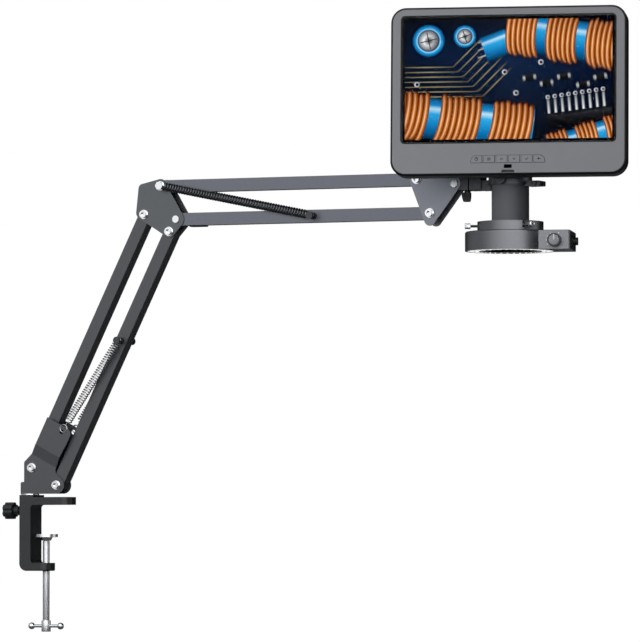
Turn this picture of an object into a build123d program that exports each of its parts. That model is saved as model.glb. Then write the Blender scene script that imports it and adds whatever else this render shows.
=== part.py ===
from build123d import *
import os
from math import atan2, cos, degrees, hypot, radians, sin

# Screen microscope on a sprung scissor arm that clamps to a desk edge. Millimetres, +Z up.
# Origin: underside of the clamp's upper jaw, on the clamp screw's axis. The arm folds in the XZ plane.

# ---- driving dimensions ----
lower_reach = 307.0        # pivot to pivot, lower parallelogram
upper_reach = 303.0        # pivot to pivot, upper parallelogram
lower_lean = 26.9          # lower arm, degrees forward of vertical
upper_drop = 0.35          # upper arm, degrees below level
head_pan = 17.5            # microscope head turned about its barrel, degrees
screen_tilt = 3.0          # screen leans back, degrees

bar_width = 13.5           # square tube, in the arm's plane
bar_half = 7.0             # square tube, half its depth
bar_wall = 1.2
plate_in = 7.15            # inner face of every side plate
plate_out = 8.35           # outer face
ear_in, ear_out = 12.65, 13.85      # spring ears of the base plates, stepped outwards
pivot_r = 2.5              # M5 bolts
pivot_hole_r = 2.56
bolt_head_r, bolt_head_out = 4.0, 12.5
spring_y = 13.5            # the springs lie in two planes, this far from the middle
spring_r = 4.2
wire_r = 0.7

# ---- pivots, as (x, z) ----
base_rear = (-13.6, 40.8)
base_front = (17.1, 21.5)
elbow_rise = (lower_reach * sin(radians(lower_lean)), lower_reach * cos(radians(lower_lean)))
elbow_rear = (base_rear[0] + elbow_rise[0], base_rear[1] + elbow_rise[1])
elbow_front = (base_front[0] + elbow_rise[0], base_front[1] + elbow_rise[1])
upper_top = (elbow_rear[0] + 23.8, elbow_rear[1] + 29.9)
upper_low = (upper_top[0] + 15.3, upper_top[1] - 36.2)
head_run = (upper_reach * cos(radians(upper_drop)), -upper_reach * sin(radians(upper_drop)))
head_top = (upper_top[0] + head_run[0], upper_top[1] + head_run[1])
head_low = (upper_low[0] + head_run[0], upper_low[1] + head_run[1])
tilt_axis = (head_top[0] + 43.8, head_top[1] - 6.0)

# ---- springs ----
lower_pin_reach, upper_pin_reach = 175.5, 165.4      # along the front bar and along the low bar
lower_pin = (base_front[0] + lower_pin_reach * sin(radians(lower_lean)),
             base_front[1] + lower_pin_reach * cos(radians(lower_lean)))
upper_pin = (upper_low[0] + upper_pin_reach * cos(radians(upper_drop)),
             upper_low[1] - upper_pin_reach * sin(radians(upper_drop)))
ear_hole = (26.4, 79.6)

# ---- clamp ----
clamp_half = 12.5
column_out, column_in = -27.5, -13.0
boss_top, jaw_top, jaw_tip = 10.9, 8.5, 34.0
foot_top, foot_bottom, foot_tip = -63.4, -72.2, 8.0
pan_x = -20.3
post_r, post_bottom = 5.0, -14.0
bracket_bottom = 12.2
screw_r, screw_top, hub_z = 4.0, -36.5, -132.4
pad_top = -32.0
lock_z = -6.2

# ---- microscope, about the barrel's axis ----
barrel_x = 556.8
barrel_r, barrel_bore = 19.75, 18.25
barrel_bottom, flange_low, flange_top = 282.0, 346.5, 351.0
head_r, head_roof = 25.5, 405.0
ring_low, ring_high, ring_r = 333.5, 346.0, 23.0
ring_screw_z = 334.3
light_r, light_bore, light_low, light_top = 47.8, 31.0, 264.0, 284.5
neck_r, neck_top = 34.8, 295.0
light_screw_z = 290.5
light_screw_angles = (-55.0, 65.5, 185.5)

# ---- screen, about its tilt hinge ----
hinge_y, hinge_z = -14.0, 418.0
screen_back, screen_front, screen_split = -14.0, -42.0, -30.0
screen_w, screen_h, screen_r = 247.4, 177.3, 16.0
screen_low = -80.2         # lower edge, below the hinge
screen_dx = 4.2           # the panel's middle, sideways from the barrel
glass_w, glass_h, glass_r = 226.1, 135.0, 4.6
chin = 33.5
key_count, key_pitch, key_w, key_h, key_rise = 6, 13.15, 11.6, 7.8, 16.85
window_rise, slot_rise = 9.25, 4.1
key_names = ("key_power", "key_menu", "key_up", "key_down", "key_enter", "key_back")


def box(x0, x1, y0, y1, z0, z1):
    return Pos((x0 + x1) / 2, (y0 + y1) / 2, (z0 + z1) / 2) * Box(x1 - x0, y1 - y0, z1 - z0)


def post(x, y, r, z0, z1):
    """Upright cylinder."""
    return Pos(x, y, (z0 + z1) / 2) * Cylinder(r, z1 - z0)


def pin(point, r, y0, y1):
    """Cylinder across the arm at a pivot."""
    return Pos(point[0], (y0 + y1) / 2, point[1]) * Rot(90, 0, 0) * Cylinder(r, y1 - y0)


def rod_x(y, z, r, x0, x1):
    return Pos((x0 + x1) / 2, y, z) * Rot(0, 90, 0) * Cylinder(r, x1 - x0)


def slab(sketch, y0, y1):
    """A sketch drawn as (x, z), standing between two depths."""
    return extrude(Plane.XZ.offset(-y1) * sketch, y1 - y0)


def disc(point, r):
    return Pos(*point) * Circle(r)


def hull(*discs):
    """Plate outline: the tight band round several discs, each (point, radius)."""
    return make_hull([edge for point, r in discs for edge in disc(point, r).edges()])


def both_sides(piece):
    return Compound([piece, mirror(piece, Plane.XZ)])


def export(name, piece):
    if isinstance(piece, (list, tuple, ShapeList)):
        piece = Compound(list(piece))
    export_step(piece, f"parts/{name}.step")


# ---- clamp ----

def clamp_frame():
    boss_edge = pan_x + 10.5
    profile = Polyline((column_out, boss_top), (boss_edge, boss_top), (boss_edge, jaw_top), (jaw_tip, jaw_top),
                       (jaw_tip, 0), (column_in, 0), (column_in, foot_top), (foot_tip, foot_top),
                       (foot_tip, foot_bottom), (column_out, foot_bottom), close=True)
    face = make_face(profile)
    face = fillet([v for v in face.vertices() if abs(v.X - column_out) < 0.1 and v.Y < 0], 8.5)
    face = fillet([v for v in face.vertices() if abs(v.X - column_in) < 0.1], 3.5)
    body = slab(face, -clamp_half, clamp_half)
    tips = [e for e in body.edges().filter_by(Axis.Z)
            if abs(e.center().X - jaw_tip) < 0.1 or abs(e.center().X - foot_tip) < 0.1]
    body = fillet(tips, 9.5)
    rims = [e for e in body.edges().filter_by(GeomType.LINE).filter_by(Axis.Z)
            if abs(e.center().X - column_out) < 0.1]
    body = fillet(rims, 1.5)
    body -= post(pan_x, 0, post_r + 0.06, post_bottom - 2, boss_top + 1)
    body -= post(0, 0, screw_r + 0.06, foot_bottom - 1, foot_top + 1)
    body -= rod_x(0, lock_z, 3.05, column_out - 1, pan_x - post_r + 1)
    return body


def pan_washer():
    bore = post(pan_x, 0, post_r + 0.3, boss_top - 1, bracket_bottom + 1)
    return post(pan_x, 0, 9.9, boss_top, bracket_bottom) - bore


def lock_knob():
    """Star knob with its stud; the stud's tip presses on the post."""
    lobes, grip, tip, depth = 6, 9.2, -50.8, 11.5
    star = Circle(grip)
    for n in range(lobes):
        a = radians(360 / lobes * n)
        star -= Pos((grip + 1.6) * cos(a), (grip + 1.6) * sin(a)) * Circle(3.0)
    head = extrude(Plane.YZ.offset(tip) * Pos(0, lock_z) * star, depth)
    head = fillet(head.edges().filter_by(GeomType.CIRCLE), 0.8)
    neck = rod_x(0, lock_z, 5.0, tip + depth - 0.5, -33.5)
    stud = rod_x(0, lock_z, 3.0, -34, pan_x - post_r - 0.1)
    return head + neck + stud


def clamp_pad():
    """Swivel pad: a disc on a cone, with the socket that the screw's nose sits in."""
    rim, heel, socket = pad_top - 3.2, pad_top - 7.0, pad_top - 4.0
    profile = Polyline((0, pad_top), (12.7, pad_top), (12.7, rim), (6.8, rim - 0.4),
                       (5.2, heel), (3.1, heel), (3.1, socket), (0, socket), close=True)
    return revolve(make_face(Plane.XZ * profile), Axis.Z)


def clamp_screw():
    hub_r, hub_half = 5.1, 6.2
    screw = post(0, 0, screw_r, hub_z, pad_top - 7.2) + post(0, 0, 3.0, pad_top - 8, screw_top)
    hub = fillet(post(0, 0, hub_r, hub_z - hub_half, hub_z + hub_half).edges(), 0.6)
    return screw + hub - rod_x(0, hub_z, 1.75, -hub_r - 1, hub_r + 1)


def tommy_bar():
    reach, ball_r = 18.0, 3.75
    bar = rod_x(0, hub_z, 1.7, -reach, reach)
    return bar + Pos(-reach, 0, hub_z) * Sphere(ball_r) + Pos(reach, 0, hub_z) * Sphere(ball_r)


# ---- turning base ----

def along_bar(u, v):
    """Point beside the rear lower pivot: u up the lower arm, v across it towards the front."""
    s, c = sin(radians(lower_lean)), cos(radians(lower_lean))
    return (base_rear[0] + u * s + v * c, base_rear[1] + u * c - v * s)


def base_plate():
    """Side plate: flat at the pivots, then stepped outwards into the ear that holds the spring."""
    eye = 9.3
    skin = plate_out - plate_in
    ear_end = along_bar(59.0, 29.6)
    outline = [(-23.4, bracket_bottom), (-23.4, 47.0), along_bar(14.0, -6.9), along_bar(27.0, -4.9),
               along_bar(59.0, -4.9), ear_end, along_bar(43.0, 29.6), (14.2, 36.3),
               (base_front[0] + eye * sin(radians(40)), base_front[1] + eye * cos(radians(40))), base_front,
               (base_front[0], bracket_bottom)]
    face = make_face(Polyline(*outline, close=True)) + disc(base_front, eye)
    notch = [v for v in face.vertices() if hypot(v.X - 14.2, v.Y - 36.3) < 0.1]
    face = fillet(notch, 5.0)
    ear = [v for v in face.vertices() if hypot(v.X - ear_end[0], v.Y - ear_end[1]) < 0.1]
    face = fillet(ear, 6.0)
    heel = [v for v in face.vertices() if hypot(v.X + 23.4, v.Y - 47.0) < 0.1]
    face = fillet(heel, 3.0)
    step_low, step_high, lead = 13.6, 26.6, 0.25 * skin
    section = Polyline((-60, plate_in), (step_low, plate_in), (step_high, ear_in), (90, ear_in), (90, ear_out),
                       (step_high - lead, ear_out), (step_low - lead, plate_out), (-60, plate_out), close=True)
    s, c = sin(radians(lower_lean)), cos(radians(lower_lean))
    across = Plane(origin=(base_rear[0], 0, base_rear[1]), x_dir=(s, 0, c), z_dir=(-c, 0, s))
    bent = extrude(across.offset(-60) * make_face(section), 120)
    plate = bent & slab(face, plate_in - 1, ear_out + 1)
    for point in (base_rear, base_front):
        plate -= pin(point, pivot_r + 0.1, plate_in - 1, plate_out + 1)
    return plate - pin(ear_hole, 2.6, ear_in - 1, ear_out + 1)


def pan_block():
    """Block between the base plates, with the post that turns in the clamp."""
    block = box(-28.4, 5.5, -plate_in, plate_in, bracket_bottom, 25.2)
    block = fillet([e for e in block.edges().filter_by(Axis.Y) if e.center().Z > 20], 2.0)
    return block + post(pan_x, 0, post_r, post_bottom, bracket_bottom + 2)


def pivot_bolts(*points):
    """Socket-head bolts through two plates, each with its washer and nut."""
    bolts = []
    for point in points:
        bolt = pin(point, pivot_r, -bolt_head_out, 14.0)
        bolt += pin(point, 5.0, -plate_out - 0.9, -plate_out)
        bolt += pin(point, bolt_head_r, -bolt_head_out, -plate_out - 0.9)
        hexagon = Pos(*point) * RegularPolygon(4.6, 6)
        bolt += slab(hexagon, plate_out, plate_out + 4.2)
        bolt -= slab(Pos(*point) * RegularPolygon(2.3, 6), -bolt_head_out - 1, -bolt_head_out + 2.4)
        bolts.append(bolt)
    return Compound(bolts)


# ---- arm bars ----

def bar(start, end, *holes):
    """Square tube with rounded side walls at both ends, drilled for its pivots."""
    r = bar_width / 2
    length = hypot(end[0] - start[0], end[1] - start[1])
    turn = degrees(atan2(end[1] - start[1], end[0] - start[0]))
    shell = slab(Pos(length / 2, 0) * SlotOverall(length + 2 * r, bar_width), -bar_half, bar_half)
    bore = Pos(length / 2, 0, 0) * Box(length + 4 * r, 2 * (bar_half - bar_wall), bar_width - 2 * bar_wall)
    tube = Pos(start[0], 0, start[1]) * Rot(0, -turn, 0) * (shell - bore)
    for point in (start, end):
        tube -= pin(point, pivot_hole_r, -bar_half - 1, bar_half + 1)
    for point in holes:
        tube -= pin(point, 2.0, -bar_half - 1, bar_half + 1)
    return tube


def spring_pin(point):
    """Cross pin through a bar, with a collar against each side and a head outside each spring."""
    shaft = pin(point, 2.0, -18.6, 18.6)
    for side in (-1, 1):
        near, far = sorted((side * bar_half, side * (bar_half + 4.0)))
        shaft += pin(point, 3.6, near, far)
        near, far = sorted((side * 16.2, side * 18.6))
        shaft += pin(point, 4.0, near, far)
    return shaft


def unit(start, end):
    length = hypot(end[0] - start[0], end[1] - start[1])
    return (end[0] - start[0]) / length, (end[1] - start[1]) / length, length


def eye_loop(point, y, r):
    """Wire eye round a pin, in the arm's plane."""
    return Pos(point[0], y, point[1]) * Rot(90, 0, 0) * Torus(r, wire_r)


def stretch(start, end, low, high, r, y):
    """Round bar on the line start to end, between two distances from start."""
    ux, uz, _ = unit(start, end)
    turn = degrees(atan2(uz, ux))
    return Pos(start[0], y, start[1]) * Rot(0, -turn, 0) * Pos((low + high) / 2, 0, 0) * Rot(0, 90, 0) * \
        Cylinder(r, high - low)


def spring(anchor, far, near_gap, far_gap, eye_r):
    """Tension spring: closed coil, and the eye at its pinned end."""
    _, _, length = unit(anchor, far)
    coil = stretch(anchor, far, near_gap, length - far_gap, spring_r, spring_y)
    core = stretch(anchor, far, near_gap - 1, length - far_gap + 1, spring_r - 2 * wire_r, spring_y)
    stem = stretch(anchor, far, eye_r, near_gap + 1, wire_r, spring_y)
    cap = stretch(anchor, far, near_gap, near_gap + 1.0, spring_r, spring_y)
    return both_sides(coil - core + cap + stem + eye_loop(anchor, spring_y, eye_r))


def lower_hooks():
    """Wire rings that hang the lower springs from the ears of the base plates."""
    ux, uz, length = unit(ear_hole, lower_pin)
    ring = 4.2
    turn = degrees(atan2(uz, ux))
    centre = (ear_hole[0] + ring * ux, ear_hole[1] + ring * uz)
    hoop = Pos(centre[0], 13.25, centre[1]) * Rot(0, -turn, 0) * Torus(ring, wire_r)
    stem = stretch(ear_hole, lower_pin, 2 * ring, 13.5, wire_r, 13.25)
    cap = stretch(ear_hole, lower_pin, 12.5, 13.5, spring_r, spring_y)
    return both_sides(hoop + stem + cap)


def upper_loops():
    """Wire eyes that hang the upper springs on the long bolt of the elbow."""
    stem = stretch(upper_top, upper_pin, 3.4, 6.2, wire_r, spring_y)
    cap = stretch(upper_top, upper_pin, 5.3, 6.2, spring_r, spring_y)
    return both_sides(stem + cap + eye_loop(upper_top, spring_y, 3.4))


# ---- elbow and head plates ----

def elbow_plate():
    rear_high, rear_low = (elbow_rear[0] - 1.9, elbow_rear[1] + 28.1), (elbow_rear[0] - 3.0, elbow_rear[1] + 2.0)
    crown = (upper_top[0] - 3.9, upper_top[1] + 2.0)
    face = hull((rear_high, 5.2), (crown, 6.1), (upper_low, 9.4), (elbow_front, 6.5), (rear_low, 6.9))
    plate = slab(face, plate_in, plate_out)
    for point in (elbow_rear, elbow_front, upper_top, upper_low):
        plate -= pin(point, pivot_r + 0.1, plate_in - 1, plate_out + 1)
    return plate


def flat_rivets(*points):
    """Flat-capped pivot pins, riveted over on the far side."""
    pins = []
    for point in points:
        rivet = pin(point, pivot_r, -plate_out - 1.0, plate_out + 1.0)
        for side in (-1, 1):
            near, far = sorted((side * plate_out, side * (plate_out + 1.6)))
            rivet += pin(point, 3.9, near, far)
        pins.append(rivet)
    return Compound(pins)


def spring_bolt():
    """Long hexagon bolt of the elbow; both upper springs hook on it."""
    bolt = pin(upper_top, pivot_r, -20.0, 20.0)
    bolt += slab(Pos(*upper_top) * RegularPolygon(4.6, 6), -20.0, -16.6)
    bolt += slab(Pos(*upper_top) * RegularPolygon(4.6, 6), 16.0, 20.0)
    for side in (-1, 1):
        near, far = sorted((side * plate_out, side * (plate_out + 3.0)))
        bolt += pin(upper_top, 4.4, near, far)
        near, far = sorted((side * 15.2, side * 16.6))
        bolt += pin(upper_top, 5.0, near, far)
    return bolt


def head_plate():
    lobe = (head_low[0] - 0.2, head_low[1] - 6.9)
    plate = slab(hull((head_top, 8.4), (lobe, 6.6), (tilt_axis, 7.0)), plate_in, plate_out)
    for point in (head_top, head_low, tilt_axis):
        plate -= pin(point, pivot_r + 0.1, plate_in - 1, plate_out + 1)
    return plate


# ---- tilt and swivel joint ----

def tilt_block():
    """Tongue between the head plates, block, and the round stub that the swivel turns on."""
    x, z = tilt_axis
    tongue = slab(hull((tilt_axis, 6.5), ((x + 8, z), 6.5)), -7.0, 7.0)
    block = box(x + 7.6, x + 15.2, -7.5, 7.5, z - 7.7, z + 7.7)
    block = fillet(block.edges().filter_by(Axis.X), 1.0)
    stub = rod_x(0, z, 4.0, x + 15, x + 26)
    body = tongue + block + stub - pin(tilt_axis, pivot_hole_r, -9, 9)
    return body - post(x + 11.4, 0, 2.05, z - 9, z + 1)


def wing_screw():
    """Wing screw under the tilt block; it locks the swivel."""
    x, z = tilt_axis[0] + 11.4, tilt_axis[1]
    stud = post(x, 0, 2.0, z - 12, z)
    hub = post(x, 0, 3.4, z - 12.5, z - 8.0)
    wing = Polyline((x - 6.6, z - 9.0), (x + 3.8, z - 9.0), (x + 3.8, z - 14), (x + 3.0, z - 19.2),
                    (x - 4.0, z - 19.2), (x - 5.6, z - 15), close=True)
    face = make_face(wing)
    face = fillet(face.vertices(), 1.2)
    return stud + hub + slab(face, -1.6, 1.6)


def holder_ring():
    """Split ring round the barrel, cast with the block that swivels on the tilt block's stub."""
    x, z = tilt_axis
    axis = barrel_x
    block = fillet(box(x + 16.8, x + 30.2, -7.8, 7.8, z - 7.9, z + 7.9).edges().filter_by(Axis.X), 1.0)
    block -= rod_x(0, z, 4.06, x + 16, x + 26.6)
    ring = post(axis, 0, ring_r, ring_low, ring_high)
    arm = box(x + 30, axis - ring_r + 3, -6.0, 6.0, z - 8.2, z + 2.6)
    ears = box(axis + ring_r - 3, axis + 37.0, -8.0, 8.0, ring_low - 2.0, ring_low + 3.6)
    ears = fillet(ears.edges().filter_by(Axis.Y), 1.2)
    body = ring + arm + ears
    body -= post(axis, 0, barrel_r + 0.06, ring_low - 5, ring_high + 5)
    body += block
    body -= box(axis + barrel_r - 2, axis + 40, -1.0, 1.0, ring_low - 5, ring_high + 5)
    body -= pin((axis + 30.5, ring_screw_z), 1.6, -10, 10)
    return body - pin((axis, 339.6), 2.05, -ring_r - 2, -barrel_r + 2)


def holder_screw():
    point = (barrel_x + 30.5, ring_screw_z)
    screw = pin(point, 1.5, -10.6, 9.5) + pin(point, 2.8, -10.6, -8.0)
    screw += slab(Pos(*point) * RegularPolygon(3.0, 6), 8.0, 10.4)
    return screw - slab(Pos(*point) * RegularPolygon(1.4, 6), -11.5, -9.4)


def holder_knob():
    """Small knurled screw in the front of the ring; it stops the head from turning."""
    point = (barrel_x, 339.6)
    ridges, r = 18, 6.2
    grip = Circle(r)
    for n in range(ridges):
        a = radians(360 / ridges * n)
        grip -= Pos(r * cos(a), r * sin(a)) * Circle(0.35)
    head = slab(Pos(*point) * grip, -27.6, -24.2)
    neck = pin(point, 3.4, -24.4, -23.1)
    return head + neck + pin(point, 2.0, -23.4, -barrel_r - 0.12)


# ---- microscope head, drawn square and then turned by head_pan ----

def on_barrel(piece):
    return Pos(barrel_x, 0, 0) * Rot(0, 0, head_pan) * piece


def barrel():
    tube = post(0, 0, barrel_r, barrel_bottom, flange_low + 1) + post(0, 0, head_r, flange_low, flange_top)
    tube -= post(0, 0, barrel_bore, barrel_bottom + 2.0, flange_top + 1)
    tube -= post(0, 0, 14.0, barrel_bottom - 1, barrel_bottom + 3)
    return tube


def lens_cell():
    """Focusing cell: a ring that slides in the barrel and carries the objective."""
    cell = post(0, 0, barrel_bore - 0.06, 300.0, 318.0) - post(0, 0, 12.0, 299, 319)
    cell += post(0, 0, 12.0, 304.0, 310.0)
    return fillet(cell.edges().filter_by(GeomType.CIRCLE).filter_by(lambda e: e.radius > 18), 0.5)


def focus_wheel():
    """Knurled wheel between the barrel's flange and the camera housing."""
    ridges, r = 36, 26.6
    grip = Circle(r)
    for n in range(ridges):
        a = radians(360 / ridges * n)
        grip -= Pos((r + 0.3) * cos(a), (r + 0.3) * sin(a)) * Circle(0.9)
    wheel = Pos(0, 0, flange_top + 0.4) * extrude(grip, 12.2)
    return wheel - post(0, 0, 23.56, flange_top, flange_top + 14)


def camera_head():
    """Camera housing, open below, where the barrel's flange closes it."""
    wheel_top = flange_top + 13.0
    shell = post(0, 0, 23.5, flange_top, wheel_top + 1) + post(0, 0, head_r, wheel_top, head_roof)
    shell = fillet(shell.edges().group_by(Axis.Z)[-1], 3.0)
    return shell - post(0, 0, 20.5, flange_top - 1, head_roof - 3.0)


def camera_board():
    board = post(0, 0, 20.4, 366.0, 367.6) + box(-7, 7, -6, 6, 363.5, 366.1)
    return board + box(-12, -4, -14, 2, 367.5, 369.6) + box(2, 14, 4, 12, 367.5, 372.0)


def screen_yoke():
    """Bracket on the camera housing with the two ears of the tilt hinge."""
    foot = box(-19, 19, -9, 14, head_roof, head_roof + 4.0)
    foot = fillet(foot.edges().filter_by(Axis.Z), 3.0)
    for side in (-1, 1):
        x0, x1 = sorted((side * 14.2, side * 19.0))
        root_back, root_front = (hinge_y + 9, head_roof + 1), (hinge_y + 2, head_roof + 1)
        ear = hull(((hinge_y, hinge_z), 6.5), (root_back, 6.0), (root_front, 5.0))
        foot += extrude(Plane.YZ.offset(x0) * ear, x1 - x0)
    foot &= box(-40, 40, -40, 40, head_roof, 440)
    return foot - Pos(0, hinge_y, hinge_z) * Rot(0, 90, 0) * Cylinder(3.03, 60)


def screen_pin():
    shaft = Pos(0, hinge_y, hinge_z) * Rot(0, 90, 0) * Cylinder(3.0, 41.0)
    for side in (-1, 1):
        shaft += Pos(side * 20.4, hinge_y, hinge_z) * Rot(0, 90, 0) * Cylinder(4.6, 2.6)
    return shaft


# ---- screen, drawn upright about its hinge and then leaned back by screen_tilt ----

def on_hinge(piece):
    return on_barrel(Pos(0, hinge_y, hinge_z) * Rot(-screen_tilt, 0, 0) * piece)


def panel(width, height, low, r, y0, y1):
    """Rounded rectangle of the screen, its lower edge at low, between two depths."""
    return slab(Pos(screen_dx, low + height / 2) * RectangleRounded(width, height, r), y0, y1)


glass_low = screen_low + chin


def key_centre(n):
    return screen_dx + (n - (key_count - 1) / 2) * key_pitch, screen_low + key_rise


def key_outline(n, grow=0.0):
    """Key cap; the first and last are rounded off at their outer top corner."""
    face = Rectangle(key_w + 2 * grow, key_h + 2 * grow)
    end = -1 if n == 0 else 1 if n == key_count - 1 else 0
    corners = [v for v in face.vertices() if end and v.X * end > 0 and v.Y > 0]
    if corners:
        face = fillet(corners, key_h * 0.8)
    return Pos(*key_centre(n)) * face


def front_bezel():
    body = panel(screen_w, screen_h, screen_low, screen_r, screen_front, screen_split)
    body = fillet(body.faces().sort_by(Axis.Y)[0].edges(), 3.0)
    face = screen_front
    body -= panel(glass_w + 0.2, glass_h + 0.2, glass_low - 0.1, glass_r + 0.1, face - 1, face + 2.0)
    body -= panel(glass_w - 4, glass_h - 4, glass_low + 2, 3.0, face + 1, screen_split + 1)
    body -= panel(screen_w - 5, screen_h - 5, screen_low + 2.5, screen_r - 2.5, face + 4.0, screen_split + 1)
    for n in range(key_count):
        body -= slab(key_outline(n, 0.25), face - 1, face + 4)
    body -= slab(Pos(screen_dx, screen_low + window_rise) * Rectangle(8.2, 3.9), face - 1, face + 4)
    slot = Polyline((-7.2, -1.4), (7.2, -1.4), (6.3, 1.4), (-6.3, 1.4), close=True)
    return body - slab(Pos(screen_dx, screen_low + slot_rise) * make_face(slot), face - 1, face + 1.2)


def rear_cover():
    """Back shell: drafted edge, vents, and the slots of its sockets on one side."""
    back = screen_back
    body = panel(screen_w, screen_h, screen_low, screen_r, screen_split + 0.05, back)
    body = fillet(body.faces().sort_by(Axis.Y)[-1].edges(), 5.0)
    body -= panel(screen_w - 5, screen_h - 5, screen_low + 2.5, screen_r - 2.5, screen_split - 1, back - 2.4)
    for side in (-1, 1):
        for n in range(9):
            x = screen_dx + side * (52 + 6 * n)
            body -= slab(Pos(x, screen_low + 128) * SlotOverall(26, 2.2, rotation=90), back - 4, back + 1)
    for z, height in ((38, 9.5), (56, 14.0), (74, 6.0)):
        body -= box(screen_dx - screen_w / 2 - 1, screen_dx - screen_w / 2 + 4, -25.5, -21.5,
                    screen_low + z, screen_low + z + height)
    return body


def screen_glass():
    return panel(glass_w, glass_h, glass_low, glass_r, screen_front + 0.4, screen_front + 2.0)


def lcd_panel():
    return panel(glass_w - 4.4, glass_h - 4.4, glass_low + 2.2, 2.5, screen_front + 2.0, screen_front + 8.0)


def main_board():
    """Main board behind the display, and the small board under the keys."""
    x0, z0 = screen_dx - 70, screen_low + 36
    board = box(x0, x0 + 110, -22.6, -21.0, z0, z0 + 62)
    board += box(x0 + 20, x0 + 38, -21.1, -18.5, z0 + 20, z0 + 38)
    board += box(x0 + 50, x0 + 62, -21.1, -19.5, z0 + 12, z0 + 24)
    board += box(x0 + 76, x0 + 100, -21.1, -18.0, z0 + 34, z0 + 44)
    front = screen_front + 8.0
    keys = box(screen_dx - 42, screen_dx + 42, front, front + 1.6, screen_low + 10, screen_low + 24)
    return Compound([board, keys])


def screen_knuckle():
    """Plate screwed to the rear cover, with the knuckle that turns on the hinge pin."""
    plate = box(-26, 26, screen_back, screen_back + 3.0, -11.5, 22)
    plate = fillet(plate.edges().filter_by(Axis.Y), 4.0)
    web = hull(((0, 0), 6.0), ((screen_back + 3, 6), 6.0), ((screen_back + 1.5, -2.5), 4.5))
    knuckle = extrude(Plane.YZ.offset(-13.6) * web, 27.2)
    knuckle &= box(-20, 20, screen_back, 20, -20, 20)
    return plate + knuckle - Pos(0, 0, 0) * Rot(0, 90, 0) * Cylinder(3.06, 60)


def cover_screws():
    points = [(sx * 108 + screen_dx, screen_low + z) for sx in (-1, 1) for z in (16.0, 160.0)]
    points += [(sx * 20.0, z) for sx in (-1, 1) for z in (-6.0, 17.0)]
    screws = []
    for n, (x, z) in enumerate(points):
        seat = screen_back if n < 4 else screen_back + 3.0
        screw = pin((x, z), 2.6, seat, seat + 1.3)
        screws.append(screw - slab(Pos(x, z) * RegularPolygon(1.2, 6), seat + 0.5, seat + 2))
    return Compound(screws)


def ir_window():
    pane = Pos(screen_dx, screen_low + window_rise) * Rectangle(8.0, 3.7)
    return slab(pane, screen_front + 0.3, screen_front + 3.0)


def key(n):
    cap = slab(key_outline(n), screen_front - 0.5, screen_front + 3.4)
    cap = fillet(cap.faces().sort_by(Axis.Y)[0].edges(), 0.35)
    x, z = key_centre(n)
    return cap + pin((x, z), 1.6, screen_front + 3.3, screen_front + 7.0)


# ---- ring light, drawn square about the barrel ----

box_front, box_back, box_end, box_r = -34.3, 27.0, 66.5, 3.0
dimmer_x, dimmer_z = 50.2, 273.5
rim_wall, board_seat = 2.5, 3.0
socket_y, socket_z, socket_seat, socket_r, socket_bore = 2.0, 274.0, 2.0, 4.2, 2.1


def light_housing():
    """Lamp ring and its neck with the three centring screws."""
    body = post(0, 0, light_r, light_low, light_top)
    body = fillet(body.faces().sort_by(Axis.Z)[-1].edges(), 2.0)
    body += post(0, 0, neck_r, light_top - 1, neck_top)
    body -= post(0, 0, light_bore, light_low - 1, neck_top + 1)
    body -= post(0, 0, light_r - rim_wall, light_low - 1, light_low + board_seat)
    for a in light_screw_angles:
        body -= Rot(0, 0, a) * Pos(33, 0, light_screw_z) * Rot(0, 90, 0) * Cylinder(1.55, 10)
    return body - Rot(0, 0, -60.0) * box(30, 40, -1.4, 1.4, light_screw_z - 3.0, neck_top + 1)


def control_box():
    """Box of the dimmer and the inlet, hollowed to sit against the lamp ring."""
    side = box(20, box_end, box_front, box_back, light_low + 0.4, light_top - 0.1)
    side = fillet([e for e in side.edges().filter_by(Axis.Z) if e.center().X > 40], box_r)
    side = fillet(side.faces().sort_by(Axis.Z)[-1].edges(), 1.2)
    side -= post(0, 0, light_r + 0.05, light_low - 1, light_top + 1)
    side -= rod_x(socket_y, socket_z, socket_r, box_end - socket_seat, box_end + 1)
    return side - Pos(dimmer_x, box_front + 2, dimmer_z) * Rot(90, 0, 0) * Cylinder(3.1, 8)


def led_board():
    """White ring at the foot of the lamp that carries its light diodes, level with the lamp's rim."""
    board = post(0, 0, light_r - rim_wall - 0.1, light_low + 0.1, light_low + board_seat)
    return board - post(0, 0, light_bore, light_low, light_low + board_seat + 1)


def thumb_screws():
    screws = []
    for a in light_screw_angles:
        screw = Pos(31.0, 0, 0) * Rot(0, 90, 0) * Cylinder(1.5, 22.3)
        screw += Pos(44.9, 0, 0) * Rot(0, 90, 0) * Cylinder(3.0, 6.0)
        screws.append(Rot(0, 0, a) * Pos(0, 0, light_screw_z) * screw)
    return Compound(screws)


def dimmer_knob():
    point = (dimmer_x, dimmer_z)
    ridges, r = 24, 7.0
    grip = Circle(r)
    for n in range(ridges):
        a = radians(360 / ridges * n)
        grip -= Pos((r + 0.1) * cos(a), (r + 0.1) * sin(a)) * Circle(0.4)
    knob = slab(Pos(*point) * grip, box_front - 8.0, box_front - 0.4)
    knob += pin(point, 3.0, box_front - 0.6, box_front + 5.5)
    return knob - slab(Pos(point[0], point[1] + 4.2) * Rectangle(1.2, 4.4), box_front - 9, box_front - 7.5)


def power_socket():
    """Round inlet at the end of the control box."""
    inlet = rod_x(socket_y, socket_z, socket_r, box_end - socket_seat, box_end + 4.5)
    return inlet - rod_x(socket_y, socket_z, socket_bore, box_end - 1.0, box_end + 5)


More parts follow.
